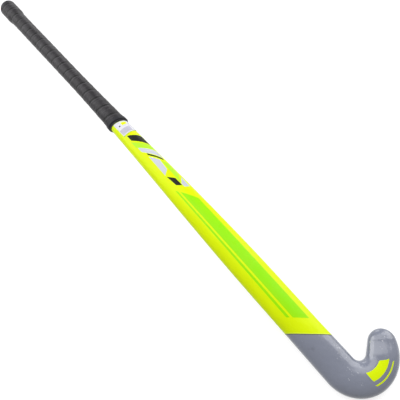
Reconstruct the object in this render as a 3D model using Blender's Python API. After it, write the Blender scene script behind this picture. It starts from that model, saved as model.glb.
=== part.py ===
"""Indoor hockey stick, right-handed, lying with its rounded back up.

+X runs from the butt to the base of the head, +Y points to the toe, +Z is up.
Every piece is drawn on a straight stick whose playing face is z = 0, measured
from the butt, and is then bent to the stick's bow. One empty lays the stick on
the ground on its face.
"""

import math
from collections import namedtuple

import bmesh
import bpy
import numpy as np
from mathutils import Vector

# Driving dimensions, in metres and degrees

# Plan of the stick, seen on its back
LENGTH = 0.927                 # butt to base, along the face
HANDLE_WIDTH = 0.0230          # bare, under the grip
SHAFT_WIDTH = 0.0461
FLARE_FROM_BUTT = 0.236        # where the handle begins to widen
FLARE_FROM_BASE = 0.190        # where the shaft has its full width
HEAD_WIDTH = 0.0473            # heel edge to throat edge
BASE_WIDTH = 0.0447            # throat to base
THROAT_RADIUS = 0.0102         # inside of the hook
HEEL_TIGHTENING = 0.0026       # off the heel radius that would keep the hook's width even
TOE_EASING = 0.0047            # the toe's outer curve is this much wider than the heel's
TIP_SHARE = 0.42               # radius of the toe's end, against the width at the base
TIP_ANGLE = 67.6               # how far past the base the outer curve runs to the tip's

# Depth from face to back, and the shape of the D section
HANDLE_DEPTH = 0.0250
SHAFT_DEPTH = 0.0215
HEAD_DEPTH = 0.0195
TOE_DEPTH = 0.0170
THINNING_FROM_BASE = 0.137     # where the shaft begins to thin down to the head
HANDLE_RISE = 0.0122           # height of the widest line over the face
SHAFT_RISE = 0.0075
HEAD_RISE = 0.0060
HANDLE_CORNER = 0.0085         # width of the rounding between face and side
SHAFT_CORNER = 0.0055
HEAD_CORNER = 0.0050
HANDLE_FULLNESS = 2.0          # exponent of the back's curve; 2 is an ellipse
SHAFT_FULLNESS = 2.2
HEAD_FULLNESS = 2.35

# Bow: the face is hollow between these two places
BOW_RADIUS = 3.60
BOW_FROM_BUTT = 0.295
BOW_FROM_BASE = 0.120

# Laminate, tubes and cores
SHELL_WALL = 0.0022
TUBE_WALL = 0.0013
SPLICE_FROM_BASE = 0.1133      # the colour break, on the stick's axis
SPLICE_SLANT = 0.88            # metres along the stick for each metre across it
TUBES_FROM_BUTT = 0.045
TUBES_FROM_BASE = 0.077
CORE_FROM_BASE = 0.071
PLUG_LENGTH = 0.030

# Butt cap
CAP_DOME = 0.0105              # length of the rounded end
CAP_FLAT_WIDTH = 0.0080        # flat spot on the very end
CAP_SKIRT = 0.0110             # skirt over the handle, past the dome
CAP_WALL = 0.0015
CAP_RAMP = 0.0120              # over which the grip comes down from the skirt

# Grip, finishing tape and label
GRIP_FROM_BUTT = 0.0095
GRIP_LENGTH = 0.3725
GRIP_FIRST_PITCH = 0.0166      # the laps open out from the butt downwards
GRIP_LAST_PITCH = 0.0228
GRIP_START_TURN = 0.7500       # the tape starts under the handle
GRIP_END_SLANT = 0.20          # metres along the stick for each metre across it
GRIP_THICK_EDGE = 0.0018       # the lapping edge, on the butt side of each turn
GRIP_THIN_EDGE = 0.0012
GRIP_LAP_ROUNDING = 0.0012     # along the stick, at the thick edge
GRIP_SLIT = 0.0006             # between one turn and the next
TAPE_LAP = 0.0055              # finishing tape over the grip
TAPE_WIDTH = 0.0100
TAPE_THICKNESS = 0.0006
LABEL_GAP = 0.0010             # along the stick, from tape to label
LABEL_LENGTH = 0.0270
LABEL_EDGE = 0.0040            # round the back, from the widest line on the toe side
LABEL_SPAN = 0.0255            # round the back
LABEL_THICKNESS = 0.0004

CLEARANCE = 0.0003             # between pieces that are bonded or taped together

# How finely curves are cut
BACK_STEPS = 14
CORNER_STEPS = 4
BEND_STEPS = 14                # round the hook
TOE_STEPS = 4
DOME_STEPS = 6
GRIP_STEPS = 24                # each turn
STATION = 0.030                # along the shaft

# Places that follow from them: x runs along the stick from the butt, y across it to the toe
HEEL_EDGE = -SHAFT_WIDTH / 2
THROAT_EDGE = HEEL_EDGE + HEAD_WIDTH
HEEL_RADIUS = THROAT_RADIUS + (HEAD_WIDTH + BASE_WIDTH) / 2 - HEEL_TIGHTENING
HEEL_CENTRE = Vector((LENGTH - HEEL_RADIUS, HEEL_EDGE + HEEL_RADIUS))
THROAT_CENTRE = Vector((LENGTH - BASE_WIDTH - THROAT_RADIUS, THROAT_EDGE + THROAT_RADIUS))
TOE_RADIUS = HEEL_RADIUS + TOE_EASING
TOE_CENTRE = Vector((LENGTH - TOE_RADIUS, HEEL_CENTRE.y))
TIP_RADIUS = TIP_SHARE * BASE_WIDTH
TIP_CENTRE = TOE_CENTRE + (TOE_RADIUS - TIP_RADIUS) * Vector(
    (math.cos(math.radians(TIP_ANGLE)), math.sin(math.radians(TIP_ANGLE))))
BOW_END = LENGTH - BOW_FROM_BASE
SPLICE = LENGTH - SPLICE_FROM_BASE
GRIP_END = GRIP_FROM_BUTT + GRIP_LENGTH
TAPE_START = GRIP_END - TAPE_LAP
TAPE_END = TAPE_START + TAPE_WIDTH

# A D section. centre and width are across the stick; sole, rise and depth are heights of its
# underside, widest line and back; corner is the rounding's width.
Shape = namedtuple("Shape", "centre width sole rise depth corner fullness")


def direction(degrees):
    return Vector((math.cos(math.radians(degrees)), math.sin(math.radians(degrees))))


def smooth(value, start, end):
    """0 before start, 1 after end, and an even S curve between."""
    share = min(max((value - start) / (end - start), 0.0), 1.0)
    return share * share * (3 - 2 * share)


def signed_power(value, power):
    return math.copysign(abs(value) ** power, value)


def shape_at(x):
    """The stick's section at x, from the butt to the start of the hook."""
    flare = smooth(x, FLARE_FROM_BUTT, LENGTH - FLARE_FROM_BASE)
    thinning = smooth(x, LENGTH - THINNING_FROM_BASE, HEEL_CENTRE.x)

    def mix(handle, shaft, head):
        return handle + (shaft - handle) * flare + (head - shaft) * thinning

    return Shape(
        centre=(THROAT_EDGE + HEEL_EDGE) / 2 * thinning,
        width=mix(HANDLE_WIDTH, SHAFT_WIDTH, HEAD_WIDTH),
        sole=0.0,
        rise=mix(HANDLE_RISE, SHAFT_RISE, HEAD_RISE),
        depth=mix(HANDLE_DEPTH, SHAFT_DEPTH, HEAD_DEPTH),
        corner=mix(HANDLE_CORNER, SHAFT_CORNER, HEAD_CORNER),
        fullness=mix(HANDLE_FULLNESS, SHAFT_FULLNESS, HEAD_FULLNESS),
    )


def profile_point(shape, turn, inset):
    """A point (across, up) of the section: turn 0 to 0.5 goes over the back from the toe side to
    the heel side, and 0.5 to 1 comes back under the face. inset draws it inwards."""
    half = shape.width / 2
    corner = min(shape.corner, half * 0.9)
    if turn <= 0.5:
        angle = turn * 2 * math.pi
        across = (half - inset) * signed_power(math.cos(angle), 2 / shape.fullness)
        up = shape.rise + (shape.depth - shape.rise - inset) * math.sin(angle) ** (2 / shape.fullness)
        return shape.centre + across, up
    share = (turn - 0.5) * 2
    side = -1 if share < 0.5 else 1
    from_widest = min(share, 1 - share)
    flat = half - corner
    if from_widest < 1 / 3:
        angle = from_widest * 3 * math.pi / 2
        across = flat + (corner - inset) * math.cos(angle)
        up = shape.rise - (shape.rise - shape.sole - inset) * math.sin(angle)
    else:
        across = flat * (0.5 - from_widest) * 6
        up = shape.sole + inset
    return shape.centre + side * across, up


def turns_round_section():
    """Where a ring of the section has its points. The flat face has none between its edges."""
    back = [step / BACK_STEPS / 2 for step in range(BACK_STEPS)]
    heel_corner = [0.5 + step / CORNER_STEPS / 6 for step in range(CORNER_STEPS + 1)]
    toe_corner = [1 - step / CORNER_STEPS / 6 for step in range(CORNER_STEPS, 0, -1)]
    return back + heel_corner + toe_corner


SECTION_TURNS = turns_round_section()


def skin_point(x, turn, inset=0.0, slant=0.0):
    """A point on the straight stick's surface, or inset under it, or over it where inset is
    negative. slant lets the section run askew, as at the splice."""
    across = profile_point(shape_at(x), turn, inset)[0]
    skewed = x + slant * across
    across, up = profile_point(shape_at(skewed), turn, inset)
    return Vector((skewed, across, up))


def shaft_ring(x, inset=0.0, slant=0.0):
    return [skin_point(x, turn, inset, slant) for turn in SECTION_TURNS]


def stations(start, end, step=STATION):
    count = max(math.ceil((end - start) / step), 1)
    return [start + (end - start) * index / count for index in range(count + 1)]


# The hook: pairs of points on its outer and inner edge, with the section that joins them


def outer_edge(angle):
    """A point of the outer edge: the heel's curve up to the base, then the toe's."""
    if angle < 0:
        return HEEL_CENTRE + HEEL_RADIUS * direction(angle)
    return TOE_CENTRE + TOE_RADIUS * direction(angle)


def hook_sections():
    """Sections from the start of the hook to the toe's tip, as (outer, inner, Shape)."""
    to_tip = TIP_CENTRE - THROAT_CENTRE
    crossing = math.asin((THROAT_RADIUS + TIP_RADIUS) / to_tip.length)
    toe_line = math.degrees(math.atan2(to_tip.y, to_tip.x) + crossing)
    throat_end = toe_line - 90
    inner_line_start = THROAT_CENTRE + THROAT_RADIUS * direction(throat_end)
    inner_line_end = TIP_CENTRE - TIP_RADIUS * direction(throat_end)

    edges = []
    for step in range(BEND_STEPS + 1):
        angle = -90 + (throat_end + 90) * step / BEND_STEPS
        outer = outer_edge(angle)
        inner = THROAT_CENTRE + THROAT_RADIUS * direction(angle)
        edges.append((outer, inner, 0.0, TIP_RADIUS))
    for step in range(1, TOE_STEPS + 1):
        share = step / TOE_STEPS
        outer = outer_edge(throat_end + (TIP_ANGLE - throat_end) * share)
        inner = inner_line_start.lerp(inner_line_end, share)
        edges.append((outer, inner, share, TIP_RADIUS))
    tip_axis = (TIP_ANGLE + throat_end + 180) / 2
    half_turn = (throat_end + 180 - TIP_ANGLE) / 2
    for open_share in (0.86, 0.72, 0.58, 0.45, 0.33, 0.22, 0.13):
        spread = half_turn * open_share
        outer = TIP_CENTRE + TIP_RADIUS * direction(tip_axis - spread)
        inner = TIP_CENTRE + TIP_RADIUS * direction(tip_axis + spread)
        from_end = TIP_RADIUS * (1 - math.cos(math.radians(spread)))
        edges.append((outer, inner, 1.0, from_end))

    sections = []
    for outer, inner, toe_share, from_end in edges:
        width = (inner - outer).length
        depth = HEAD_DEPTH + (TOE_DEPTH - HEAD_DEPTH) * smooth(toe_share, 0, 1)
        sole = 0.0
        if from_end < HEAD_CORNER:
            sole = HEAD_RISE * (1 - math.sqrt(1 - (1 - from_end / HEAD_CORNER) ** 2))
        if from_end < TIP_RADIUS:
            fade = (1 - (1 - from_end / TIP_RADIUS) ** HEAD_FULLNESS) ** (1 / HEAD_FULLNESS)
            depth = HEAD_RISE + (depth - HEAD_RISE) * fade
        shape = Shape(0.0, width, sole, HEAD_RISE, depth, min(HEAD_CORNER, width * 0.4), HEAD_FULLNESS)
        sections.append((outer, inner, shape))
    return sections


def hook_ring(section, inset=0.0):
    outer, inner, shape = section
    middle = (outer + inner) / 2
    across_unit = (inner - outer).normalized()
    ring = []
    for turn in SECTION_TURNS:
        across, up = profile_point(shape, turn, inset)
        place = middle + across_unit * across
        ring.append(Vector((place.x, place.y, up)))
    return ring


def head_run(start, slant, inset, sections):
    """Rings from the splice, or from start, to the last of the given hook sections. The slant of
    the first ring fades out towards the hook."""
    first_outer, first_inner = sections[0][0], sections[0][1]
    end = (first_outer.x + first_inner.x) / 2
    end_slant = (first_inner.x - first_outer.x) / (first_inner.y - first_outer.y)
    places = stations(start, end, STATION / 2)[:-1]
    rings = []
    for x in places:
        share = (x - start) / (end - start)
        rings.append(shaft_ring(x, inset, slant + (end_slant - slant) * share))
    return rings + [hook_ring(section, inset) for section in sections]


# Turning rings into closed bodies


def bend(point):
    """Carry a point of the straight stick to the bowed one. The bow is one arc; the handle goes
    on straight from its end."""
    arc = BOW_END - BOW_FROM_BUTT
    run = min(max(BOW_END - point.x, 0.0), arc)
    beyond = max(BOW_FROM_BUTT - point.x, 0.0)
    ahead = max(point.x - BOW_END, 0.0)
    angle = run / BOW_RADIUS
    x = BOW_END + ahead - (BOW_RADIUS + point.z) * math.sin(angle) - beyond * math.cos(angle)
    z = (BOW_RADIUS + point.z) * math.cos(angle) - BOW_RADIUS - beyond * math.sin(angle)
    return Vector((x, point.y, z))


def body_from_rings(name, rings, material, closed=False, sharp_angle=35.0):
    """Skin rings of equal count into one closed body. A closed run joins its last ring to its
    first, as a tube's outside to its bore; otherwise both ends are capped."""
    bm = bmesh.new()
    loops = [[bm.verts.new(bend(point)) for point in ring] for ring in rings]
    pairs = list(zip(loops, loops[1:]))
    if closed:
        pairs.append((loops[-1], loops[0]))
    else:
        bm.faces.new(loops[0])
        bm.faces.new(loops[-1])
    count = len(loops[0])
    for near, far in pairs:
        for index in range(count):
            after = (index + 1) % count
            bm.faces.new((near[index], near[after], far[after], far[index]))
    bmesh.ops.recalc_face_normals(bm, faces=bm.faces)
    mesh = bpy.data.meshes.new(name)
    bm.to_mesh(mesh)
    bm.free()
    mesh.shade_smooth()
    mesh.set_sharp_from_angle(angle=math.radians(sharp_angle))
    mesh.materials.append(material)
    part = bpy.data.objects.new(name, mesh)
    bpy.context.collection.objects.link(part)
    return part


def finish(name, color, roughness, coat=0.0):
    material = bpy.data.materials.new(name)
    material.use_nodes = True
    shader = material.node_tree.nodes["Principled BSDF"]
    shader.inputs["Base Color"].default_value = (*color, 1.0)
    shader.inputs["Roughness"].default_value = roughness
    shader.inputs["Metallic"].default_value = 0.0
    shader.inputs["Coat Weight"].default_value = coat
    return material


# The head


def make_head_shell():
    """Grey laminate from the splice to the toe, with a closed cavity that opens at the splice."""
    gap = CLEARANCE / 2 * math.hypot(1, SPLICE_SLANT)
    start = SPLICE + gap
    sections = hook_sections()
    cavity = [section for section in sections if section[2].depth > HEAD_DEPTH * 0.8]
    outside = head_run(start, SPLICE_SLANT, 0.0, sections)
    inside = head_run(start, SPLICE_SLANT, SHELL_WALL, cavity)
    grey = finish("grey_laminate", (0.20, 0.21, 0.24), 0.22, coat=0.6)
    return body_from_rings("head_shell", inside[::-1] + outside, grey)


def make_head_core():
    sections = [section for section in hook_sections() if section[2].depth > HEAD_DEPTH * 0.8][:-1]
    rings = head_run(LENGTH - CORE_FROM_BASE, 0.0, SHELL_WALL + CLEARANCE, sections)
    foam = finish("core_foam", (0.80, 0.74, 0.52), 0.9)
    return body_from_rings("head_core", rings, foam)


# The shaft and what is inside it


def make_shaft_shell():
    """Yellow laminate from the cap to the splice. Its sections turn askew only near the splice."""
    gap = CLEARANCE / 2 * math.hypot(1, SPLICE_SLANT)
    start = CAP_DOME + CLEARANCE
    end = SPLICE - gap
    skew_start = SPLICE - 2 * SPLICE_SLANT * SHAFT_WIDTH
    places = stations(start, skew_start) + stations(skew_start, end)[1:]

    def rings(inset):
        return [shaft_ring(x, inset, SPLICE_SLANT * max(x - skew_start, 0) / (end - skew_start))
                for x in places]

    yellow = finish("yellow_laminate", (0.70, 0.95, 0.01), 0.3, coat=0.4)
    return body_from_rings("shaft_shell", rings(0.0) + rings(SHELL_WALL)[::-1], yellow, closed=True)


def chamber_ring(x, inset, middle, side):
    """Half of the cavity's D: a tube's section, with its web at the given distance from the
    stick's middle plane."""
    shape = shape_at(x)
    half = shape.width / 2 - inset
    corner = min(shape.corner, shape.width * 0.45)
    flat = max(shape.width / 2 - corner, middle + CLEARANCE)
    last_angle = math.acos((middle / half) ** (shape.fullness / 2))
    points = [(middle, inset), (flat, inset)]
    for step in range(1, 4):
        angle = math.pi / 2 * step / 3
        points.append((flat + (half - flat) * math.sin(angle),
                       shape.rise - (shape.rise - inset) * math.cos(angle)))
    for step in range(1, 6):
        angle = last_angle * step / 5
        across = half * math.cos(angle) ** (2 / shape.fullness)
        up = shape.rise + (shape.depth - shape.rise - inset) * math.sin(angle) ** (2 / shape.fullness)
        points.append((across, up))
    ring = [Vector((x, shape.centre + side * across, up)) for across, up in points]
    return ring if side > 0 else ring[::-1]


def make_tube(name, side, material):
    places = stations(TUBES_FROM_BUTT, LENGTH - TUBES_FROM_BASE, STATION * 1.3)
    inset = SHELL_WALL + CLEARANCE
    outside = [chamber_ring(x, inset, CLEARANCE / 2, side) for x in places]
    inside = [chamber_ring(x, inset + TUBE_WALL, CLEARANCE / 2 + TUBE_WALL, side) for x in places]
    return body_from_rings(name, outside + inside[::-1], material, closed=True)


def make_butt_plug():
    end = TUBES_FROM_BUTT - CLEARANCE
    rings = [shaft_ring(x, SHELL_WALL + CLEARANCE) for x in stations(end - PLUG_LENGTH, end)]
    foam = finish("plug_foam", (0.25, 0.25, 0.26), 0.9)
    return body_from_rings("butt_plug", rings, foam)


def make_butt_cap():
    """A domed end with a skirt that the grip's first turns cover."""
    reach = CLEARANCE + CAP_WALL
    skirt_end = CAP_DOME + CAP_SKIRT
    base_ring = shaft_ring(CAP_DOME, -reach)
    middle = Vector((0, 0, HANDLE_DEPTH / 2))
    rings = []
    for step in range(DOME_STEPS):
        angle = math.pi / 2 * step / DOME_STEPS
        end_share = CAP_FLAT_WIDTH / HANDLE_WIDTH
        share = end_share + (1 - end_share) * math.sin(angle)
        x = CAP_DOME * (1 - math.cos(angle))
        rings.append([Vector((x, point.y * share, middle.z + (point.z - middle.z) * share))
                      for point in base_ring])
    rings += [shaft_ring(x, -reach) for x in (CAP_DOME, skirt_end)]
    rings += [shaft_ring(x, -CLEARANCE) for x in (skirt_end, CAP_DOME)]
    black = finish("cap_rubber", (0.03, 0.03, 0.035), 0.6)
    return body_from_rings("butt_cap", rings, black)


# The grip, its tape and the label


def grip_pitch(x):
    share = (x - GRIP_FROM_BUTT) / GRIP_LENGTH
    return GRIP_FIRST_PITCH + (GRIP_LAST_PITCH - GRIP_FIRST_PITCH) * share


def grip_seat(x):
    """How far over the handle the grip's underside lies. The turn that crosses the end of the
    cap's skirt is still clear of the skirt, and the next one comes down to the handle."""
    skirt_end = CAP_DOME + CAP_SKIRT
    ramp_start = skirt_end + grip_pitch(skirt_end)
    return CLEARANCE + (CLEARANCE + CAP_WALL) * (1 - smooth(x, ramp_start, ramp_start + CAP_RAMP))


def grip_cut(turn):
    """Where the slanting cut at the grip's lower end crosses the given turn."""
    across = profile_point(shape_at(GRIP_END), turn, -CLEARANCE - GRIP_THICK_EDGE)[0]
    return GRIP_END + GRIP_END_SLANT * across


def make_grip_wrap():
    """One ribbon of tape, wound as a helix whose pitch grows. Each turn's butt-side edge is the
    thick one, so the turns look lapped. Both ends taper to nothing against a straight cut."""
    edge = [GRIP_FROM_BUTT - grip_pitch(GRIP_FROM_BUTT) + GRIP_SLIT * 4]
    while edge[-1] < GRIP_END + 2 * GRIP_LAST_PITCH:
        begin = edge[-1]
        step_length = grip_pitch(begin) / GRIP_STEPS
        edge += [begin + step_length * step for step in range(1, GRIP_STEPS + 1)]

    crown = (GRIP_THIN_EDGE + GRIP_THICK_EDGE) / 2
    rings = []
    for index, lead in enumerate(edge[:-GRIP_STEPS]):
        low = max(lead, GRIP_FROM_BUTT)
        turn = (GRIP_START_TURN - index / GRIP_STEPS) % 1
        high = min(edge[index + GRIP_STEPS] - GRIP_SLIT, grip_cut(turn))
        if high - low < GRIP_SLIT * 2:
            break
        rounding = min(GRIP_LAP_ROUNDING, (high - low) / 3)
        section = ((low, 0), (high, 0), (high, GRIP_THIN_EDGE), ((low + high) / 2, crown),
                   (low + rounding, GRIP_THICK_EDGE), (low, crown))
        rings.append([skin_point(x, turn, -(grip_seat(x) + lift)) for x, lift in section])

    least = math.inf
    for first, second in zip(rings, rings[GRIP_STEPS:]):
        for point in (first[1], first[2]):
            for other in (second[0], second[5]):
                least = min(least, (point - other).length)
    print(f"grip_wrap: {len(rings) / GRIP_STEPS:.1f} turns, least gap to itself {least * 1000:.2f} mm")
    foam = finish("grip_tape", (0.06, 0.06, 0.065), 0.75)
    return body_from_rings("grip_wrap", rings, foam, sharp_angle=50.0)


def make_finishing_tape():
    """A band that starts on the grip's last turns and steps down to the shaft."""
    on_grip = CLEARANCE + GRIP_THICK_EDGE + CLEARANCE
    step_start = GRIP_END + CLEARANCE
    stops = ((TAPE_START, on_grip), (step_start, on_grip),
             (step_start + GRIP_THICK_EDGE, CLEARANCE), (TAPE_END, CLEARANCE))
    inside = [shaft_ring(x, -lift, GRIP_END_SLANT) for x, lift in stops]
    outside = [shaft_ring(x, -lift - TAPE_THICKNESS, GRIP_END_SLANT) for x, lift in stops]
    black = finish("tape_film", (0.02, 0.02, 0.022), 0.4)
    return body_from_rings("finishing_tape", outside + inside[::-1], black, closed=True)


def back_turn(x, distance):
    """The turn that lies the given distance round the back from the toe side's widest line."""
    shape = shape_at(x)
    points = [Vector(profile_point(shape, step / 40, 0.0)) for step in range(21)]
    girth = sum((after - before).length for before, after in zip(points, points[1:]))
    return distance / girth / 2


def make_blank_label():
    """A bare sticker on the toe side of the back. Its upper edge follows the tape."""
    start = TAPE_END + LABEL_GAP
    steps = 8
    rings = []
    for x in stations(start, start + LABEL_LENGTH, LABEL_LENGTH / 4):
        turns = [back_turn(x, LABEL_EDGE + LABEL_SPAN * step / steps) for step in range(steps + 1)]
        slant = GRIP_END_SLANT * (start + LABEL_LENGTH - x) / LABEL_LENGTH
        top = [skin_point(x, turn, -CLEARANCE - LABEL_THICKNESS, slant) for turn in turns]
        under = [skin_point(x, turn, -CLEARANCE, slant) for turn in reversed(turns)]
        rings.append(top + under)
    silver = finish("label_film", (0.72, 0.73, 0.76), 0.35)
    return body_from_rings("blank_label", rings, silver)


# Laying the stick down


def lay_down(parts, stick):
    """Tip the stick about Y until the head's face and the butt both touch the ground, then set
    the middle of its footprint on the origin."""
    points = np.array([vertex.co for part in parts for vertex in part.data.vertices])

    def tipped(angle):
        cos, sin = math.cos(angle), math.sin(angle)
        return np.column_stack((points[:, 0] * cos + points[:, 2] * sin, points[:, 1],
                                points[:, 2] * cos - points[:, 0] * sin))

    near_butt = points[:, 0] < LENGTH / 2
    low, high = math.radians(-20), math.radians(20)
    for _ in range(40):
        angle = (low + high) / 2
        heights = tipped(angle)[:, 2]
        if heights[near_butt].min() < heights[~near_butt].min():
            low = angle
        else:
            high = angle
    resting = tipped(angle)
    corner_low = resting.min(axis=0)
    corner_high = resting.max(axis=0)
    stick.rotation_euler = (0, angle, 0)
    stick.location = (-(corner_low[0] + corner_high[0]) / 2, -(corner_low[1] + corner_high[1]) / 2,
                      -corner_low[2])
    print(f"tipped {math.degrees(angle):.2f} degrees, {(corner_high - corner_low) * 1000} mm")


def main():
    for leftover in list(bpy.data.objects):
        bpy.data.objects.remove(leftover, do_unlink=True)
    stick = bpy.data.objects.new("stick", None)
    bpy.context.collection.objects.link(stick)
    tube_laminate = finish("tube_laminate", (0.05, 0.05, 0.055), 0.45)
    parts = [
        make_head_shell(),
        make_head_core(),
        make_shaft_shell(),
        make_tube("toe_side_tube", 1, tube_laminate),
        make_tube("heel_side_tube", -1, tube_laminate),
        make_butt_plug(),
        make_butt_cap(),
        make_grip_wrap(),
        make_finishing_tape(),
        make_blank_label(),
    ]
    for part in parts:
        part.parent = stick
    lay_down(parts, stick)


main()
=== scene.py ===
"""The looks of an indoor hockey stick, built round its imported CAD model."""
import math
from collections import namedtuple

import bmesh
import bpy
from mathutils import Matrix, Vector, noise


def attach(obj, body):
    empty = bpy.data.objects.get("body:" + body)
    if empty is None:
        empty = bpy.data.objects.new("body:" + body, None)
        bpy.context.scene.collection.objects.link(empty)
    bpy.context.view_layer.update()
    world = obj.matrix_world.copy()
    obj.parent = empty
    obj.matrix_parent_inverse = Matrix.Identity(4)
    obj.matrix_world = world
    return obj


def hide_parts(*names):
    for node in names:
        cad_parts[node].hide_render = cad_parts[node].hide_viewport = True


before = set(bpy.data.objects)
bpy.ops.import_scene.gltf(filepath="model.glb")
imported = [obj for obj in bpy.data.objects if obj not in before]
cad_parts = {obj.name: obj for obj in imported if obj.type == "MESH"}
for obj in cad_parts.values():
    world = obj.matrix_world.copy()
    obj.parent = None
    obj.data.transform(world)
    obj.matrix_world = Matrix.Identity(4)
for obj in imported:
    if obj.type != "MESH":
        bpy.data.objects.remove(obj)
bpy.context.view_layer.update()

# The stick's plan, sections and bow, as the CAD has them: lengths in metres, angles in degrees
LENGTH = 0.927
HANDLE_WIDTH = 0.0230
SHAFT_WIDTH = 0.0461
FLARE_FROM_BUTT = 0.236
FLARE_FROM_BASE = 0.190
HEAD_WIDTH = 0.0473
BASE_WIDTH = 0.0447
THROAT_RADIUS = 0.0102
HEEL_TIGHTENING = 0.0026
TOE_EASING = 0.0047
TIP_SHARE = 0.42
TIP_ANGLE = 67.6
HANDLE_DEPTH = 0.0250
SHAFT_DEPTH = 0.0215
HEAD_DEPTH = 0.0195
TOE_DEPTH = 0.0170
THINNING_FROM_BASE = 0.137
HANDLE_RISE = 0.0122
SHAFT_RISE = 0.0075
HEAD_RISE = 0.0060
HANDLE_CORNER = 0.0085
SHAFT_CORNER = 0.0055
HEAD_CORNER = 0.0050
HANDLE_FULLNESS = 2.0
SHAFT_FULLNESS = 2.2
HEAD_FULLNESS = 2.35
BOW_RADIUS = 3.60
BOW_FROM_BUTT = 0.295
BOW_FROM_BASE = 0.120
SHELL_WALL = 0.0022
SPLICE_FROM_BASE = 0.1133
SPLICE_SLANT = 0.88
CAP_DOME = 0.0105
CAP_FLAT_WIDTH = 0.0080
CAP_SKIRT = 0.0110
CAP_WALL = 0.0015
CAP_RAMP = 0.0120
GRIP_FROM_BUTT = 0.0095
GRIP_LENGTH = 0.3725
GRIP_FIRST_PITCH = 0.0166
GRIP_LAST_PITCH = 0.0228
GRIP_START_TURN = 0.7500
GRIP_END_SLANT = 0.20
GRIP_THICK_EDGE = 0.0018
GRIP_THIN_EDGE = 0.0012
GRIP_START_WIDTH = 0.0024
TAPE_LAP = 0.0055
TAPE_WIDTH = 0.0100
TAPE_THICKNESS = 0.0006
LABEL_GAP = 0.0010
LABEL_LENGTH = 0.0270
LABEL_EDGE = 0.0040
LABEL_SPAN = 0.0255
LABEL_THICKNESS = 0.0004
CLEARANCE = 0.0003

# How the stick lies on the ground
LIE_TILT = 0.0886500105
LIE_PLACE = Vector((-0.4603573978, -0.0314056836, 0.0816290453))

HEEL_EDGE = -SHAFT_WIDTH / 2
THROAT_EDGE = HEEL_EDGE + HEAD_WIDTH
HEEL_RADIUS = THROAT_RADIUS + (HEAD_WIDTH + BASE_WIDTH) / 2 - HEEL_TIGHTENING
HEEL_CENTRE = Vector((LENGTH - HEEL_RADIUS, HEEL_EDGE + HEEL_RADIUS))
THROAT_CENTRE = Vector((LENGTH - BASE_WIDTH - THROAT_RADIUS, THROAT_EDGE + THROAT_RADIUS))
TOE_RADIUS = HEEL_RADIUS + TOE_EASING
TOE_CENTRE = Vector((LENGTH - TOE_RADIUS, HEEL_CENTRE.y))
TIP_RADIUS = TIP_SHARE * BASE_WIDTH
TIP_CENTRE = TOE_CENTRE + (TOE_RADIUS - TIP_RADIUS) * Vector(
    (math.cos(math.radians(TIP_ANGLE)), math.sin(math.radians(TIP_ANGLE))))
BOW_END = LENGTH - BOW_FROM_BASE
SPLICE = LENGTH - SPLICE_FROM_BASE
GRIP_END = GRIP_FROM_BUTT + GRIP_LENGTH
TAPE_START = GRIP_END - TAPE_LAP
TAPE_END = TAPE_START + TAPE_WIDTH

# How finely the pieces are cut: numbers of steps, lengths in metres, and a part of a turn
BACK_STEPS = 40
CORNER_STEPS = 10
FACE_STEPS = 8
BEND_STEPS = 56
TOE_STEPS = 14
TIP_STEPS = 26
DOME_STEPS = 24
GRIP_STEPS = 72
LABEL_STEPS = 24
LABEL_ROWS = 16
HOOK_INK_ROWS = 40
HOOK_INK_COLUMNS = 10
GIRTH_STEPS = 20
STATION = 0.006
TAPE_STATION = 0.0006
INK_ALONG = 0.004
INK_ACROSS = 0.0012
TURN_STEP = 0.006

# A section's corners are at most this share of its half width, and of the width at the toe's tip
LARGEST_CORNER = 0.9
LARGEST_TIP_CORNER = 0.4
# The shell's hollow ends where the toe gets thinner than this share of the head's depth
HOLLOW_DEPTH_SHARE = 0.8

Shape = namedtuple("Shape", "centre width sole rise depth corner fullness")


# The stick's surface


def direction(degrees):
    return Vector((math.cos(math.radians(degrees)), math.sin(math.radians(degrees))))


def smooth(value, start, end):
    """0 up to start, 1 from end on, and a smooth rise between them."""
    share = min(max((value - start) / (end - start), 0.0), 1.0)
    return share * share * (3 - 2 * share)


def signed_power(value, power):
    return math.copysign(abs(value) ** power, value)


def shape_at(x):
    """The section at x metres from the butt."""
    flare = smooth(x, FLARE_FROM_BUTT, LENGTH - FLARE_FROM_BASE)
    thinning = smooth(x, LENGTH - THINNING_FROM_BASE, HEEL_CENTRE.x)

    def mix(handle, shaft, head):
        return handle + (shaft - handle) * flare + (head - shaft) * thinning

    return Shape(
        centre=(THROAT_EDGE + HEEL_EDGE) / 2 * thinning,
        width=mix(HANDLE_WIDTH, SHAFT_WIDTH, HEAD_WIDTH),
        sole=0.0,
        rise=mix(HANDLE_RISE, SHAFT_RISE, HEAD_RISE),
        depth=mix(HANDLE_DEPTH, SHAFT_DEPTH, HEAD_DEPTH),
        corner=mix(HANDLE_CORNER, SHAFT_CORNER, HEAD_CORNER),
        fullness=mix(HANDLE_FULLNESS, SHAFT_FULLNESS, HEAD_FULLNESS),
    )


def profile_point(shape, turn, inset):
    """turn 0 to 0.5 goes over the back from the toe side to the heel side; 0.5 to 1 comes back
    under the face, a third of each half round the corner and the rest along the flat."""
    half = shape.width / 2
    corner = min(shape.corner, half * LARGEST_CORNER)
    if turn <= 0.5:
        angle = turn * 2 * math.pi
        across = (half - inset) * signed_power(math.cos(angle), 2 / shape.fullness)
        crown = shape.depth - shape.rise - inset
        return shape.centre + across, shape.rise + crown * math.sin(angle) ** (2 / shape.fullness)
    share = (turn - 0.5) * 2
    side = -1 if share < 0.5 else 1
    from_widest = min(share, 1 - share)
    flat = half - corner
    if from_widest < 1 / 3:
        angle = from_widest * 3 * math.pi / 2
        across = flat + (corner - inset) * math.cos(angle)
        up = shape.rise - (shape.rise - shape.sole - inset) * math.sin(angle)
    else:
        across = flat * (0.5 - from_widest) * 6
        up = shape.sole + inset
    return shape.centre + side * across, up


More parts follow.
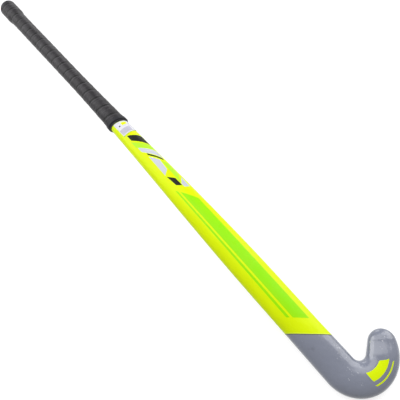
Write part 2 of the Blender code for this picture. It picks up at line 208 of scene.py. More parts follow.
def turns_round_section():
    """The turns at which every section is cut, closer round its corners."""
    back = [step / BACK_STEPS / 2 for step in range(BACK_STEPS)]
    heel_corner = [0.5 + step / CORNER_STEPS / 6 for step in range(CORNER_STEPS + 1)]
    face = [(4 + step / FACE_STEPS) / 6 for step in range(1, FACE_STEPS)]
    toe_corner = [1 - step / CORNER_STEPS / 6 for step in range(CORNER_STEPS, 0, -1)]
    return back + heel_corner + face + toe_corner


SECTION_TURNS = turns_round_section()


def skin_point(x, turn, inset=0.0, slant=0.0):
    """A point inset under the skin. slant moves it along the stick, by so much for each metre
    across."""
    across = profile_point(shape_at(x), turn, inset)[0]
    skewed = x + slant * across
    across, up = profile_point(shape_at(skewed), turn, inset)
    return Vector((skewed, across, up))


def shaft_ring(x, inset=0.0, slant=0.0):
    return [skin_point(x, turn, inset, slant) for turn in SECTION_TURNS]


def stations(start, end, step=STATION):
    count = max(math.ceil((end - start) / step), 1)
    return [start + (end - start) * index / count for index in range(count + 1)]


def outer_edge(angle):
    """The hook's outside, round the heel and then round the toe."""
    if angle < 0:
        return HEEL_CENTRE + HEEL_RADIUS * direction(angle)
    return TOE_CENTRE + TOE_RADIUS * direction(angle)


def hook_sections():
    """Sections from the start of the hook to the toe's tip, as (outer, inner, Shape)."""
    to_tip = TIP_CENTRE - THROAT_CENTRE
    crossing = math.asin((THROAT_RADIUS + TIP_RADIUS) / to_tip.length)
    toe_line = math.degrees(math.atan2(to_tip.y, to_tip.x) + crossing)
    throat_end = toe_line - 90
    inner_line_start = THROAT_CENTRE + THROAT_RADIUS * direction(throat_end)
    inner_line_end = TIP_CENTRE - TIP_RADIUS * direction(throat_end)

    edges = []
    for step in range(BEND_STEPS + 1):
        angle = -90 + (throat_end + 90) * step / BEND_STEPS
        edges.append((outer_edge(angle), THROAT_CENTRE + THROAT_RADIUS * direction(angle),
                      0.0, TIP_RADIUS))
    for step in range(1, TOE_STEPS + 1):
        share = step / TOE_STEPS
        outer = outer_edge(throat_end + (TIP_ANGLE - throat_end) * share)
        edges.append((outer, inner_line_start.lerp(inner_line_end, share), share, TIP_RADIUS))
    tip_axis = (TIP_ANGLE + throat_end + 180) / 2
    half_turn = (throat_end + 180 - TIP_ANGLE) / 2
    for step in range(1, TIP_STEPS + 1):
        spread = half_turn * (1 - step / (TIP_STEPS + 1.5))
        outer = TIP_CENTRE + TIP_RADIUS * direction(tip_axis - spread)
        inner = TIP_CENTRE + TIP_RADIUS * direction(tip_axis + spread)
        edges.append((outer, inner, 1.0, TIP_RADIUS * (1 - math.cos(math.radians(spread)))))

    sections = []
    for outer, inner, toe_share, from_end in edges:
        width = (inner - outer).length
        depth = HEAD_DEPTH + (TOE_DEPTH - HEAD_DEPTH) * smooth(toe_share, 0, 1)
        sole = 0.0
        if from_end < HEAD_CORNER:
            sole = HEAD_RISE * (1 - math.sqrt(1 - (1 - from_end / HEAD_CORNER) ** 2))
        if from_end < TIP_RADIUS:
            fade = (1 - (1 - from_end / TIP_RADIUS) ** HEAD_FULLNESS) ** (1 / HEAD_FULLNESS)
            depth = HEAD_RISE + (depth - HEAD_RISE) * fade
        corner = min(HEAD_CORNER, width * LARGEST_TIP_CORNER)
        shape = Shape(0.0, width, sole, HEAD_RISE, depth, corner, HEAD_FULLNESS)
        sections.append((outer, inner, shape))
    return sections


def hook_point(outer, inner, shape, turn, inset):
    across, up = profile_point(shape, turn, inset)
    place = (outer + inner) / 2 + (inner - outer).normalized() * across
    return Vector((place.x, place.y, up))


def head_run(start, slant, inset, sections):
    """Rings from the colour break to the last of the hook's sections."""
    first_outer, first_inner = sections[0][0], sections[0][1]
    end = (first_outer.x + first_inner.x) / 2
    end_slant = (first_inner.x - first_outer.x) / (first_inner.y - first_outer.y)
    rings = []
    for x in stations(start, end, STATION / 2)[:-1]:
        share = (x - start) / (end - start)
        rings.append(shaft_ring(x, inset, slant + (end_slant - slant) * share))
    for outer, inner, shape in sections:
        rings.append([hook_point(outer, inner, shape, turn, inset) for turn in SECTION_TURNS])
    return rings


def bend(point):
    """A point of the straight stick, on the bow: straight, an arc, and straight again."""
    arc = BOW_END - BOW_FROM_BUTT
    run = min(max(BOW_END - point.x, 0.0), arc)
    beyond = max(BOW_FROM_BUTT - point.x, 0.0)
    ahead = max(point.x - BOW_END, 0.0)
    angle = run / BOW_RADIUS
    x = BOW_END + ahead - (BOW_RADIUS + point.z) * math.sin(angle) - beyond * math.cos(angle)
    z = (BOW_RADIUS + point.z) * math.cos(angle) - BOW_RADIUS - beyond * math.sin(angle)
    return Vector((x, point.y, z))


LIE = Matrix.Translation(LIE_PLACE) @ Matrix.Rotation(LIE_TILT, 4, "Y")


def lying(point):
    """A point of the straight stick, bowed and laid on the ground."""
    return LIE @ bend(point)


# Pieces


def body_from_rings(name, rings, material, replaced=(), closed=False, sharp_angle=40.0,
                    marks=None):
    """Skin rings of equal count into one piece. marks holds a number for each ring point, kept
    as the attribute "mark"."""
    bm = bmesh.new()
    layer = bm.verts.layers.float.new("mark")
    loops = []
    for ring_index, ring in enumerate(rings):
        loop = []
        for index, point in enumerate(ring):
            vert = bm.verts.new(lying(point))
            vert[layer] = marks[ring_index][index] if marks else 0.0
            loop.append(vert)
        loops.append(loop)
    pairs = list(zip(loops, loops[1:]))
    if closed:
        pairs.append((loops[-1], loops[0]))
    else:
        bm.faces.new(loops[0])
        bm.faces.new(loops[-1])
    count = len(loops[0])
    for near, far in pairs:
        for index in range(count):
            after = (index + 1) % count
            bm.faces.new((near[index], near[after], far[after], far[index]))
    return add_piece(name, bm, material, replaced, sharp_angle)


def add_piece(name, bm, material, replaced=(), sharp_angle=40.0):
    bmesh.ops.recalc_face_normals(bm, faces=bm.faces)
    mesh = bpy.data.meshes.new(name)
    bm.to_mesh(mesh)
    bm.free()
    mesh.shade_smooth()
    mesh.set_sharp_from_angle(angle=math.radians(sharp_angle))
    mesh.materials.append(material)
    piece = bpy.data.objects.new(name, mesh)
    bpy.context.scene.collection.objects.link(piece)
    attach(piece, "root")
    if replaced:
        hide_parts(*replaced)
    return piece


# Materials


def srgb(red, green, blue):
    """Linear values of an 8-bit colour."""
    def linear(value):
        value /= 255
        return value / 12.92 if value <= 0.04045 else ((value + 0.055) / 1.055) ** 2.4
    return linear(red), linear(green), linear(blue), 1.0


class Look:
    """A Principled material, with short calls for its pattern nodes."""

    def __init__(self, name, roughness=0.5, specular=0.5, coat=0.0, coat_roughness=0.05):
        self.material = bpy.data.materials.new(name)
        self.material.use_nodes = True
        self.tree = self.material.node_tree
        self.shader = self.tree.nodes["Principled BSDF"]
        for socket, value in (("Roughness", roughness), ("Specular IOR Level", specular),
                              ("Coat Weight", coat), ("Coat Roughness", coat_roughness)):
            self.shader.inputs[socket].default_value = value
        self.coordinates = self.add("ShaderNodeTexCoord").outputs["Object"]
        self.normal = None

    def add(self, kind, **settings):
        node = self.tree.nodes.new(kind)
        for key, value in settings.items():
            setattr(node, key, value)
        return node

    def join(self, value, socket):
        if isinstance(value, bpy.types.NodeSocket):
            self.tree.links.new(value, socket)
        else:
            socket.default_value = value

    def math(self, operation, first, second):
        node = self.add("ShaderNodeMath", operation=operation)
        self.join(first, node.inputs[0])
        self.join(second, node.inputs[1])
        return node.outputs[0]

    def span(self, value, low, high, to_low=0.0, to_high=1.0):
        """A smooth ramp from to_low, where value is low, to to_high, where it is high."""
        node = self.add("ShaderNodeMapRange", interpolation_type="SMOOTHSTEP")
        self.join(value, node.inputs["Value"])
        for socket, number in (("From Min", low), ("From Max", high),
                               ("To Min", to_low), ("To Max", to_high)):
            node.inputs[socket].default_value = number
        return node.outputs[0]

    def noise(self, size, detail=2.0, stretch=(1, 1, 1), roughness=0.5, seed=0.0):
        """Cloudy noise whose features are about size metres across, stretched along the axes."""
        mapping = self.add("ShaderNodeMapping")
        self.join(self.coordinates, mapping.inputs["Vector"])
        mapping.inputs["Scale"].default_value = [1 / (size * factor) for factor in stretch]
        mapping.inputs["Location"].default_value = (seed, seed * 1.7, seed * 0.6)
        node = self.add("ShaderNodeTexNoise")
        self.join(mapping.outputs[0], node.inputs["Vector"])
        node.inputs["Scale"].default_value = 1.0
        node.inputs["Detail"].default_value = detail
        node.inputs["Roughness"].default_value = roughness
        return node.outputs["Fac"]

    def cells(self, size):
        """The distance to the walls of cells that are about size metres across."""
        mapping = self.add("ShaderNodeMapping")
        self.join(self.coordinates, mapping.inputs["Vector"])
        mapping.inputs["Scale"].default_value = [1 / size] * 3
        node = self.add("ShaderNodeTexVoronoi", feature="DISTANCE_TO_EDGE")
        self.join(mapping.outputs[0], node.inputs["Vector"])
        node.inputs["Scale"].default_value = 1.0
        return node.outputs["Distance"]

    def mark(self):
        return self.add("ShaderNodeAttribute", attribute_name="mark").outputs["Fac"]

    def mix(self, share, first, second):
        node = self.add("ShaderNodeMix", data_type="RGBA")
        self.join(share, node.inputs["Factor"])
        self.join(first, node.inputs["A"])
        self.join(second, node.inputs["B"])
        return node.outputs["Result"]

    def bump(self, height, depth, strength=1.0):
        """Adds a bump whose 0 to 1 range is depth metres high."""
        node = self.add("ShaderNodeBump")
        node.inputs["Strength"].default_value = strength
        node.inputs["Distance"].default_value = depth
        self.join(height, node.inputs["Height"])
        if self.normal:
            self.join(self.normal, node.inputs["Normal"])
        self.normal = node.outputs[0]
        self.join(self.normal, self.shader.inputs["Normal"])

    def set(self, socket, value):
        self.join(value, self.shader.inputs[socket])


# What the mark adds to the noise of the wear, and the sums from which paint is rubbed, and bare
WEAR_AT_CORNER = 0.22
RUBBED_FROM = 0.77
BARE_FROM = 0.84


def make_paint(name, main, shade, roughness=0.30, specular=0.12, coat=0.0, coat_roughness=0.1,
               worn=None, ripple=0.0, scuffs=None):
    """Sprayed paint: slow colour drift, orange peel, handling marks, and spots rubbed to the worn
    colour where the attribute "mark" comes up to 1. ripple is the height of a soft waviness, and
    scuffs is the colours of pale flecks and dark smears."""
    look = Look(name, roughness, specular, coat, coat_roughness)
    drift = look.span(look.noise(0.060, 3.0, (2.4, 1, 1)), 0.40, 0.66)
    color = look.mix(drift, main, shade)
    if worn:
        chips = look.noise(0.0035, 4.0, (2.5, 1, 1), roughness=0.7, seed=7.0)
        edge = look.math("MULTIPLY", look.mark(), WEAR_AT_CORNER)
        rubbed = look.span(look.math("ADD", chips, edge), RUBBED_FROM, BARE_FROM)
        color = look.mix(rubbed, color, worn)
        look.bump(rubbed, -0.00004)
    if scuffs:
        pale, dark = scuffs
        specks = look.span(look.noise(0.0024, 3.0, (1.6, 1, 1), seed=13.0), 0.66, 0.70)
        handled = look.span(look.noise(0.045, 2.0, seed=17.0), 0.52, 0.58)
        flecks = look.math("MULTIPLY", specks, handled)
        smears = look.span(look.noise(0.016, 4.0, (1.4, 1, 1), seed=19.0), 0.60, 0.72, 0.0, 0.45)
        color = look.mix(flecks, look.mix(smears, color, dark), pale)
        look.bump(flecks, -0.00005)
    if ripple:
        look.bump(look.noise(0.008, 3.0, seed=11.0), ripple)
    look.bump(look.noise(0.0022, 2.0), 0.000012)
    look.set("Base Color", color)
    smudge = look.noise(0.022, 4.0, (1.8, 1, 1), seed=3.0)
    look.set("Roughness", look.span(smudge, 0.35, 0.70, roughness - 0.05, roughness + 0.10))
    return look.material


# The mark on the ribbon's thin edge; on its thick edge it is 0
THIN_EDGE_MARK = 100
# Painted shade for the grip's seams: near black, standing in for the shadow along each lap
SEAM_SHADE_COLOR = srgb(3, 3, 4)


def make_looks():
    looks = {}
    looks["yellow"] = make_paint("yellow_paint", srgb(221, 244, 3), srgb(216, 238, 4),
                                 worn=srgb(205, 214, 120))
    for name, main, shade in (("green", srgb(144, 229, 0), srgb(152, 226, 1)),
                              ("lime", srgb(176, 232, 48), srgb(186, 238, 60)),
                              ("black", srgb(30, 32, 26), srgb(52, 50, 46)),
                              ("silver", srgb(196, 200, 212), srgb(182, 186, 198)),
                              ("pale_line", srgb(236, 250, 80), srgb(228, 246, 70)),
                              ("dark_line", srgb(84, 98, 60), srgb(76, 84, 66))):
        looks[name] = make_paint(name + "_ink", main, shade)
    looks["grey"] = make_paint("grey_gloss", srgb(105, 110, 127), srgb(113, 118, 134),
                               roughness=0.34, specular=0.4, coat=1.0, coat_roughness=0.15,
                               worn=srgb(86, 88, 96), ripple=0.0005,
                               scuffs=(srgb(168, 171, 180), srgb(78, 82, 94)))

    grip = Look("cushion_grip", roughness=0.42, specular=0.2)
    grain = grip.noise(0.0011, 3.0)
    tone = grip.span(grip.noise(0.018, 3.0), 0.35, 0.68)
    color = grip.mix(tone, srgb(30, 28, 31), srgb(42, 40, 43))
    crinkle = grip.noise(0.0075, 3.0, (0.28, 1.8, 1.8), seed=9.0)
    color = grip.mix(grip.span(crinkle, 0.52, 0.70), color, srgb(58, 56, 60))
    seam = grip.mark()
    # Painted light round each seam: a painted highlight in a line about 1.3 to 3.4 mm from the
    # thick edge, painted shade over the thick edge's rounding and lip, and a painted shadow within
    # 2.2 mm of the thin edge, where the next turn's lip overhangs it
    for start, full, painted_tint in ((3.4, 1.6, srgb(62, 60, 64)),
                              (THIN_EDGE_MARK - 3.1, THIN_EDGE_MARK - 2.2, SEAM_SHADE_COLOR),
                              (1.3, 0.8, SEAM_SHADE_COLOR)):
        color = grip.mix(grip.span(seam, start, full), color, painted_tint)
    grip.set("Base Color", color)
    grip.set("Roughness", grip.span(grain, 0.3, 0.7, 0.38, 0.50))
    grip.bump(grip.noise(0.009, 2.0, (0.5, 1, 1), seed=5.0), 0.0006, 0.5)
    grip.bump(crinkle, 0.0005, 0.5)
    grip.bump(grain, 0.00016, 0.6)
    looks["grip"] = grip.material

    tape = Look("tape_vinyl", roughness=0.5, specular=0.2)
    tape.set("Base Color", tape.mix(tape.noise(0.004, 3.0, (4, 1, 1)),
                                    srgb(24, 24, 28), srgb(38, 38, 44)))
    tape.bump(tape.noise(0.006, 2.0, (0.25, 1, 1)), 0.0003, 0.5)
    looks["tape"] = tape.material

    for name, first, second in (("label", srgb(206, 206, 214), srgb(216, 216, 222)),
                                ("label_grey", srgb(176, 174, 190), srgb(186, 184, 198)),
                                ("label_dark", srgb(52, 56, 44), srgb(68, 70, 60))):
        film = Look(name + "_film", roughness=0.35, specular=0.3)
        film.set("Base Color", film.mix(film.noise(0.008, 2.0), first, second))
        film.bump(film.noise(0.0015, 2.0), 0.00002)
        looks[name] = film.material

    cap = Look("cap_rubber", roughness=0.55, specular=0.3)
    cap.set("Base Color", cap.mix(cap.noise(0.003, 3.0), srgb(52, 51, 54), srgb(66, 64, 68)))
    cap.bump(cap.noise(0.0009, 3.0), 0.00012, 0.6)
    looks["cap"] = cap.material

    for name, first, second, size in (("tube", srgb(28, 28, 30), srgb(48, 48, 52), 0.003),
                                      ("core", srgb(214, 204, 160), srgb(228, 220, 184), 0.002),
                                      ("plug", srgb(88, 88, 90), srgb(104, 104, 108), 0.002)):
        inner = Look(name + "_inside", roughness=0.8)
        inner.set("Base Color", inner.mix(inner.noise(size, 2.0), first, second))
        inner.bump(inner.cells(size), 0.0002, 0.4)
        looks[name] = inner.material
    return looks


LOOKS = make_looks()


# The shells

# Half the seam along the colour break
SPLICE_GAP = 0.00003
# Where the rubbed corners lie round the section, and how far the wear reaches, in turns
HEEL_CORNER_TURN = 0.58
TOE_CORNER_TURN = 0.92
WEAR_REACH = 0.2


def edge_marks(rings):
    """1 on the corner between face and side, fading over the side and the face."""
    near_corner = []
    for turn in SECTION_TURNS:
        away = min(abs(turn - HEEL_CORNER_TURN), abs(turn - TOE_CORNER_TURN))
        near_corner.append(max(0.0, 1 - away / WEAR_REACH))
    return [near_corner] * len(rings)


def make_shaft():
    start = CAP_DOME + CLEARANCE
    end = SPLICE - SPLICE_GAP
    skew_start = SPLICE - 2 * SPLICE_SLANT * SHAFT_WIDTH
    places = stations(start, skew_start) + stations(skew_start, end)[1:]

    def rings(inset):
        return [shaft_ring(x, inset, SPLICE_SLANT * max(x - skew_start, 0) / (end - skew_start))
                for x in places]

    both = rings(0.0) + rings(SHELL_WALL)[::-1]
    return body_from_rings("shaft", both, LOOKS["yellow"], ["shaft_shell"],
                           closed=True, marks=edge_marks(both))


def make_head():
    sections = hook_sections()
    cavity = [section for section in sections
              if section[2].depth > HEAD_DEPTH * HOLLOW_DEPTH_SHARE]
    start = SPLICE + SPLICE_GAP
    outside = head_run(start, SPLICE_SLANT, 0.0, sections)
    inside = head_run(start, SPLICE_SLANT, SHELL_WALL, cavity)
    both = inside[::-1] + outside
    return body_from_rings("head", both, LOOKS["grey"], ["head_shell"],
                           marks=edge_marks(both))


# Ink on the shells, as thin closed slabs. A place on the back is a pair: metres along the stick,
# and metres round it from the middle of the back, positive on the toe side.

INK_UNDER = -0.00002
INK_OVER = 0.00004
# The middle of the back, as a turn round the section
MIDDLE_TURN = 0.25
# Where the green runs to, in millimetres along the middle of the back
GREEN_END = 786
# The two lines along the colour break, from the one length to the other beyond it
PALE_LINE = (-0.0016, -0.0004)
DARK_LINE = (-0.0004, 0.0008)


def turn_round(x, distance):
    """The turn that lies the given distance round the section from the middle of the back."""
    shape = shape_at(x)
    way = -1 if distance > 0 else 1
    turn = MIDDLE_TURN
    place = Vector(profile_point(shape, turn, 0.0))
    left = abs(distance)
    while True:
        after = turn + way * TURN_STEP
        next_place = Vector(profile_point(shape, after % 1, 0.0))
        length = (next_place - place).length
        if length >= left:
            return (turn + way * TURN_STEP * left / length) % 1
        left -= length
        turn, place = after, next_place


def slab(name, grid, look):
    """A closed thin slab: grid holds rows of points, each a function of its height over the
    skin."""
    bm = bmesh.new()
    sheets = []
    for lift in (INK_OVER, INK_UNDER):
        sheets.append([[bm.verts.new(lying(point(lift))) for point in row] for row in grid])
    top, under = sheets
    for rows in sheets:
        for near, far in zip(rows, rows[1:]):
            for index in range(len(near) - 1):
                bm.faces.new((near[index], near[index + 1], far[index + 1], far[index]))

    def rim(rows):
        return (rows[0] + [row[-1] for row in rows[1:]] + rows[-1][-2::-1]
                + [row[0] for row in rows[-2:0:-1]])

    rim_top, rim_under = rim(top), rim(under)
    for index in range(len(rim_top)):
        before = index - 1
        bm.faces.new((rim_top[before], rim_top[index], rim_under[index], rim_under[before]))
    return add_piece(name, bm, LOOKS[look])


def shaft_ink(name, look, corners, base_lift=0.0):
    """A patch on the shaft's back between four corners, given in millimetres: two across the
    stick where it starts, and two where it ends."""
    start_heel, start_toe, end_heel, end_toe = [Vector(corner) / 1000 for corner in corners]
    length = max((end_heel - start_heel).length, (end_toe - start_toe).length)
    width = max((start_toe - start_heel).length, (end_toe - end_heel).length)
    rows = max(math.ceil(length / INK_ALONG), 3)
    columns = max(math.ceil(width / INK_ACROSS), 2)

    def skin(place):
        turn = turn_round(*place)
        return lambda lift: skin_point(place[0], turn, -lift - base_lift)

    grid = []
    for row in range(rows + 1):
        heel = start_heel.lerp(end_heel, row / rows)
        toe = start_toe.lerp(end_toe, row / rows)
        grid.append([skin(heel.lerp(toe, column / columns)) for column in range(columns + 1)])
    return slab(name, grid, look)


def ring_line(name, look, reach):
    """A line right round the stick, parallel to the colour break."""
    start, end = reach
    places = [SPLICE + start + (end - start) * step / 2 for step in range(3)]
    over = [shaft_ring(x, -INK_OVER, SPLICE_SLANT) for x in places]
    under = [shaft_ring(x, -INK_UNDER, SPLICE_SLANT) for x in places]
    return body_from_rings(name, over + under[::-1], LOOKS[look], closed=True)


def hook_ink(name, look, first_angle, last_angle, first_turn, last_turn, cut):
    """A band that follows the hook, between two angles round the throat and two turns round the
    section. cut is how many degrees its ends lean over."""
    def skin(angle, turn):
        outer = outer_edge(angle)
        inner = THROAT_CENTRE + THROAT_RADIUS * direction(angle)
        shape = Shape(0.0, (inner - outer).length, 0.0, HEAD_RISE, HEAD_DEPTH, HEAD_CORNER,
                      HEAD_FULLNESS)
        return lambda lift: hook_point(outer, inner, shape, turn, -lift)

    grid = []
    for row in range(HOOK_INK_ROWS + 1):
        line = []
        for column in range(HOOK_INK_COLUMNS + 1):
            share = column / HOOK_INK_COLUMNS
            angle = first_angle + (last_angle - first_angle) * row / HOOK_INK_ROWS + cut * share
            line.append(skin(angle, first_turn + (last_turn - first_turn) * share))
        grid.append(line)
    return slab(name, grid, look)


def make_ink():
    """A generic layout of bands and facets in the stick's colours."""
    def green_end(across):
        return GREEN_END + across * SPLICE_SLANT, across

    shaft_ink("green_band", "green", ((548, -1.5), (572, 13), green_end(-2.5), green_end(14)))
    shaft_ink("green_line", "green", ((541, -6), (545, -4), green_end(-9), green_end(-5.5)))
    for name, look, corners in (
            ("facet_black", "black", ((417, -4), (430, 17), (429, -4), (452, 17))),
            ("facet_lime", "lime", ((431, -6), (454, 17), (444, -6), (466, 17))),
            ("facet_silver", "silver", ((446, -4), (468, 17), (456, -4), (484, 17))),
            ("facet_black_thin", "black", ((463, 0), (483.5, 15), (467, 0), (489, 15))),
            ("facet_silver_long", "silver", ((470, -1), (484, 9), (512, -2), (505, 7))),
            ("facet_lime_long", "lime", ((488, 10.2), (496, 17), (536, 8.4), (520, 17))),
            ("facet_black_small", "black", ((515, -1.5), (525, 7.2), (535, 0.5), (541, 7.6))),
            ("facet_silver_end", "silver", ((538, 8.5), (527, 17), (545, 9), (548, 17)))):
        shaft_ink(name, look, corners)
    ring_line("break_line_pale", "pale_line", PALE_LINE)
    ring_line("break_line_dark", "dark_line", DARK_LINE)
    hook_ink("hook_band", "yellow", -30, 26, 0.205, 0.275, 12)
    hook_ink("hook_line", "yellow", -18, 34, 0.310, 0.325, 3)


# The grip


def grip_pitch(x):
    share = (x - GRIP_FROM_BUTT) / GRIP_LENGTH
    return GRIP_FIRST_PITCH + (GRIP_LAST_PITCH - GRIP_FIRST_PITCH) * share


def grip_seat(x):
    """How far the ribbon's inside lies over the handle's skin: over the cap's skirt, then down."""
    skirt_end = CAP_DOME + CAP_SKIRT
    ramp_start = skirt_end + grip_pitch(skirt_end)
    return CLEARANCE + (CLEARANCE + CAP_WALL) * (1 - smooth(x, ramp_start, ramp_start + CAP_RAMP))


def grip_cut(turn):
    """Where the slanted end cuts the ribbon off."""
    across = profile_point(shape_at(GRIP_END), turn, -CLEARANCE - GRIP_THICK_EDGE)[0]
    return GRIP_END + GRIP_END_SLANT * across


# The ribbon's section in metres: the gap to the next turn, the least width, how far the thick
# edge reaches over the turn before it, its rounding, the length in which the reach grows, and the
# bevel of the thin edge
SEAM_GAP = 0.00012
LEAST_WIDTH = 0.0012
LAP_OVERHANG = 0.0009
LAP_ROUNDING = 0.0013
LAP_START = 0.004
THIN_BEVEL = 0.0004
THIN_BEVEL_STEP = 0.00025
# The share by which the thickness swells, and the steps round the handle in which it changes
SWELL = 0.05
SWELL_STEPS = 20
# The ribbon's top: shares of its width, the exponent of its rise, and where its rounding starts
TOP_SHARES = (0.95, 0.89, 0.8, 0.68, 0.55, 0.4, 0.27, 0.16)
TOP_RISE = 0.6
ROUNDING_START = 0.35
# The lip: shares of the overhang, each with a share of the thickness, and then each with a height
# over the thin edge
LIP_TOP = ((0.4, 0.985), (0.85, 0.90))
LIP_UNDER = ((1, 0.00030), (0.95, 0.00012), (0, 0.00006))


def ribbon_mark(from_thick, from_thin):
    """Millimetres from the ribbon's thick edge, or THIN_EDGE_MARK less those from its thin edge,
    whichever is near."""
    return 1000 * from_thick if from_thick < from_thin else THIN_EDGE_MARK - 1000 * from_thin


def make_grip():
    """The ribbon of the CAD, with its laps closed: each turn's thick edge lies over the turn
    before it."""
    edge = [GRIP_FROM_BUTT - grip_pitch(GRIP_FROM_BUTT) + GRIP_START_WIDTH]
    while edge[-1] < GRIP_END + 2 * GRIP_LAST_PITCH:
        begin = edge[-1]
        step_length = grip_pitch(begin) / GRIP_STEPS
        edge += [begin + step_length * step for step in range(1, GRIP_STEPS + 1)]
    rings = []
    marks = []
    for index, lead in enumerate(edge[:-GRIP_STEPS]):
        low = max(lead, GRIP_FROM_BUTT)
        turn = (GRIP_START_TURN - index / GRIP_STEPS) % 1
        high = min(edge[index + GRIP_STEPS] - SEAM_GAP, grip_cut(turn))
        if high - low < LEAST_WIDTH:
            break
        width = high - low
        lap = LAP_OVERHANG * smooth(lead, GRIP_FROM_BUTT, GRIP_FROM_BUTT + LAP_START)
        rounding = min(LAP_ROUNDING, width / 4)
        thin, thick = GRIP_THIN_EDGE, GRIP_THICK_EDGE
        swell = 1 + SWELL * noise.noise(Vector((index / SWELL_STEPS, 0, 0)))
        section = [(low, 0), (high, 0), (high, thin - 2 * THIN_BEVEL_STEP),
                   (high - THIN_BEVEL, thin - THIN_BEVEL_STEP)]
        for share in TOP_SHARES:
            rise = (thick - thin) * (1 - share) ** TOP_RISE * swell
            section.append((low + width * share, thin + rise))
        section.append((low + rounding * ROUNDING_START, thick * swell))
        section += [(low - lap * out, thick * height * swell) for out, height in LIP_TOP]
        section += [(low - lap * out, thin + height) for out, height in LIP_UNDER]
        rings.append([skin_point(x, turn, -(grip_seat(x) + lift)) for x, lift in section])
        marks.append([ribbon_mark(x - low, high - x) for x, _ in section])
    return body_from_rings("grip", rings, LOOKS["grip"], ["grip_wrap"],
                           sharp_angle=55.0, marks=marks)


def make_tape():
    on_grip = CLEARANCE + GRIP_THICK_EDGE + CLEARANCE
    step_start = GRIP_END + CLEARANCE
    stops = []
    for x in stations(TAPE_START, TAPE_END, TAPE_STATION):
        share = smooth(x, step_start, step_start + GRIP_THICK_EDGE)
        stops.append((x, on_grip + (CLEARANCE - on_grip) * share))
    inside = [shaft_ring(x, -lift, GRIP_END_SLANT) for x, lift in stops]
    outside = [shaft_ring(x, -lift - TAPE_THICKNESS, GRIP_END_SLANT) for x, lift in stops]
    return body_from_rings("tape", outside + inside[::-1], LOOKS["tape"],
                           ["finishing_tape"], closed=True)


def make_cap():
    reach = CLEARANCE + CAP_WALL
    skirt_end = CAP_DOME + CAP_SKIRT
    base_ring = shaft_ring(CAP_DOME, -reach)
    middle = HANDLE_DEPTH / 2
    end_share = CAP_FLAT_WIDTH / HANDLE_WIDTH
    rings = []
    for step in range(DOME_STEPS):
        angle = math.pi / 2 * step / DOME_STEPS
        share = end_share + (1 - end_share) * math.sin(angle)
        x = CAP_DOME * (1 - math.cos(angle))
        rings.append([Vector((x, point.y * share, middle + (point.z - middle) * share))
                      for point in base_ring])
    rings += [shaft_ring(x, -reach) for x in (CAP_DOME, skirt_end)]
    rings += [shaft_ring(x, -CLEARANCE) for x in (skirt_end, CAP_DOME)]
    return body_from_rings("cap", rings, LOOKS["cap"], ["butt_cap"])


def back_turn(x, distance):
    """The turn that lies the given distance round the back from the toe side's widest line."""
    shape = shape_at(x)
    points = [Vector(profile_point(shape, step / GIRTH_STEPS / 2, 0.0))
              for step in range(GIRTH_STEPS + 1)]
    girth = sum((after - before).length for before, after in zip(points, points[1:]))
    return distance / girth / 2


def make_label():
    start = TAPE_END + LABEL_GAP
    rings = []
    for x in stations(start, start + LABEL_LENGTH, LABEL_LENGTH / LABEL_ROWS):
        turns = [back_turn(x, LABEL_EDGE + LABEL_SPAN * step / LABEL_STEPS)
                 for step in range(LABEL_STEPS + 1)]
        slant = GRIP_END_SLANT * (start + LABEL_LENGTH - x) / LABEL_LENGTH
        top = [skin_point(x, turn, -CLEARANCE - LABEL_THICKNESS, slant) for turn in turns]
        under = [skin_point(x, turn, -CLEARANCE, slant) for turn in reversed(turns)]
        rings.append(top + under)
    return body_from_rings("label", rings, LOOKS["label"], ["blank_label"])


def make_label_blocks():
    """Plain blocks of colour on the label."""
    over = CLEARANCE + LABEL_THICKNESS
    for name, look, corners in (
            ("label_block_yellow", "yellow", ((391, 2), (392, 10.5), (397, 2), (397, 10.5))),
            ("label_block_grey", "label_grey",
             ((402.5, -7), (402.5, 10.5), (412.5, -7), (412.5, 10.5))),
            ("label_block_dark", "label_dark",
             ((394.5, -3.4), (394.5, -1.2), (397, -3.4), (397, -1.2)))):
        shaft_ink(name, look, corners, over)


make_shaft()
make_head()
make_ink()
make_grip()
make_tape()
make_cap()
make_label()
make_label_blocks()
for node, look in (("toe_side_tube", "tube"), ("heel_side_tube", "tube"), ("head_core", "core"),
                   ("butt_plug", "plug")):
    cad_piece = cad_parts[node]
    for material_slot in cad_piece.material_slots:
        material_slot.material = LOOKS[look]


# Floor, light and camera

FLOOR_REACH = 30.0
FLOOR_GREY = 0.40
# The floor's glow for the camera near the stick and far from it, and the distances of both
FLOOR_GLOW = 0.75
FAR_FLOOR_GLOW = 0.97
GLOW_NEAR = 0.8
GLOW_FAR = 3.0
AMBIENT = 0.28
WHITE = (1, 1, 1, 1)


def through_to_camera(tree):
    """1 for the rays that should see the plain background, and 0 for the rays that light."""
    path = tree.nodes.new("ShaderNodeLightPath")
    total = path.outputs["Is Camera Ray"]
    for other in ("Is Glossy Ray", "Is Transmission Ray"):
        node = tree.nodes.new("ShaderNodeMath")
        node.operation = "MAXIMUM"
        tree.links.new(total, node.inputs[0])
        tree.links.new(path.outputs[other], node.inputs[1])
        total = node.outputs[0]
    return total


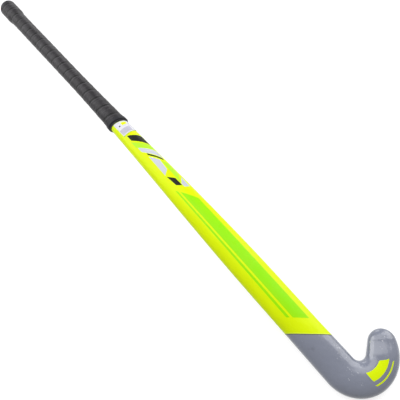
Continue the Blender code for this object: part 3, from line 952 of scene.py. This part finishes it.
def make_floor():
    mesh = bpy.data.meshes.new("floor")
    corners = [(-1, -1), (1, -1), (1, 1), (-1, 1)]
    mesh.from_pydata([(x * FLOOR_REACH, y * FLOOR_REACH, 0) for x, y in corners],
                     [], [(0, 1, 2, 3)])
    floor = bpy.data.objects.new("floor", mesh)
    bpy.context.scene.collection.objects.link(floor)
    material = bpy.data.materials.new("floor_paper")
    material.use_nodes = True
    tree = material.node_tree
    shader = tree.nodes["Principled BSDF"]
    shader.inputs["Base Color"].default_value = (FLOOR_GREY, FLOOR_GREY, FLOOR_GREY, 1)
    shader.inputs["Roughness"].default_value = 1.0
    shader.inputs["Specular IOR Level"].default_value = 0.0
    glow = tree.nodes.new("ShaderNodeEmission")
    glow.inputs["Color"].default_value = WHITE
    share = tree.nodes.new("ShaderNodeMath")
    share.operation = "MULTIPLY"
    tree.links.new(through_to_camera(tree), share.inputs[0])
    from_stick = tree.nodes.new("ShaderNodeVectorMath")
    from_stick.operation = "LENGTH"
    tree.links.new(tree.nodes.new("ShaderNodeTexCoord").outputs["Object"], from_stick.inputs[0])
    lift = tree.nodes.new("ShaderNodeMapRange")
    for socket, number in (("From Min", GLOW_NEAR), ("From Max", GLOW_FAR),
                           ("To Min", FLOOR_GLOW), ("To Max", FAR_FLOOR_GLOW)):
        lift.inputs[socket].default_value = number
    tree.links.new(from_stick.outputs["Value"], lift.inputs["Value"])
    tree.links.new(lift.outputs[0], share.inputs[1])
    tree.links.new(share.outputs[0], glow.inputs["Strength"])
    both = tree.nodes.new("ShaderNodeAddShader")
    tree.links.new(shader.outputs[0], both.inputs[0])
    tree.links.new(glow.outputs[0], both.inputs[1])
    tree.links.new(both.outputs[0], tree.nodes["Material Output"].inputs["Surface"])
    mesh.materials.append(material)


def make_world():
    world = bpy.data.worlds.new("studio")
    bpy.context.scene.world = world
    world.use_nodes = True
    tree = world.node_tree
    plain = tree.nodes["Background"]
    plain.inputs["Color"].default_value = WHITE
    plain.inputs["Strength"].default_value = AMBIENT
    shown = tree.nodes.new("ShaderNodeBackground")
    shown.inputs["Color"].default_value = WHITE
    shown.inputs["Strength"].default_value = 1.0
    mix = tree.nodes.new("ShaderNodeMixShader")
    tree.links.new(through_to_camera(tree), mix.inputs[0])
    tree.links.new(plain.outputs[0], mix.inputs[1])
    tree.links.new(shown.outputs[0], mix.inputs[2])
    tree.links.new(mix.outputs[0], tree.nodes["World Output"].inputs["Surface"])


def make_lamp(name, place, aim, size, power, along=(0, 0, 1)):
    """A softbox of power watts at place that faces aim, its second side turned along a
    direction."""
    lamp = bpy.data.lights.new(name, "AREA")
    lamp.shape = "RECTANGLE"
    lamp.size, lamp.size_y = size
    lamp.energy = power
    holder = bpy.data.objects.new(name, lamp)
    backward = (Vector(place) - Vector(aim)).normalized()
    across = Vector(along).cross(backward).normalized()
    axes = Matrix((across, backward.cross(across), backward)).transposed()
    holder.matrix_world = Matrix.Translation(place) @ axes.to_4x4()
    bpy.context.scene.collection.objects.link(holder)


# The photograph's view, from fitting the stick's outline
CAMERA_PLACE = Vector((0.365942, -0.152616, 0.695399))
CAMERA_RIGHT = (0.638380, 0.764314, -0.091074)
CAMERA_DOWN = (0.682930, -0.617002, -0.391044)
CAMERA_FORWARD = (-0.355074, 0.187437, -0.915855)
CAMERA_LENS = 43.731


def make_camera():
    right = Vector(CAMERA_RIGHT)
    down = Vector(CAMERA_DOWN)
    forward = Vector(CAMERA_FORWARD)
    camera = bpy.data.cameras.new("camera")
    camera.sensor_width = 36.0
    camera.lens = CAMERA_LENS
    camera.clip_start = 0.01
    holder = bpy.data.objects.new("camera", camera)
    axes = Matrix((right, -down, -forward)).transposed()
    holder.matrix_world = Matrix.Translation(CAMERA_PLACE) @ axes.to_4x4()
    bpy.context.scene.collection.objects.link(holder)
    bpy.context.scene.camera = holder


make_floor()
make_world()
make_lamp("back", (-1.20, -0.80, 1.05), (-0.1, 0.0, 0.0), (1.1, 1.9), 26, (0.10, 0.67, 0.74))
make_lamp("rim", (-1.30, 1.15, 0.40), (-0.3, 0.0, 0.0), (0.9, 0.6), 5)
make_lamp("side", (0.34, 1.32, 0.70), (0.30, 0.0, 0.0), (1.05, 1.25), 12.5)
make_lamp("top", (0.046, 0.274, 1.07), (0.236, 0.134, -0.03), (1.24, 0.61), 5.0)
make_camera()

bpy.context.scene.view_settings.view_transform = "Standard"
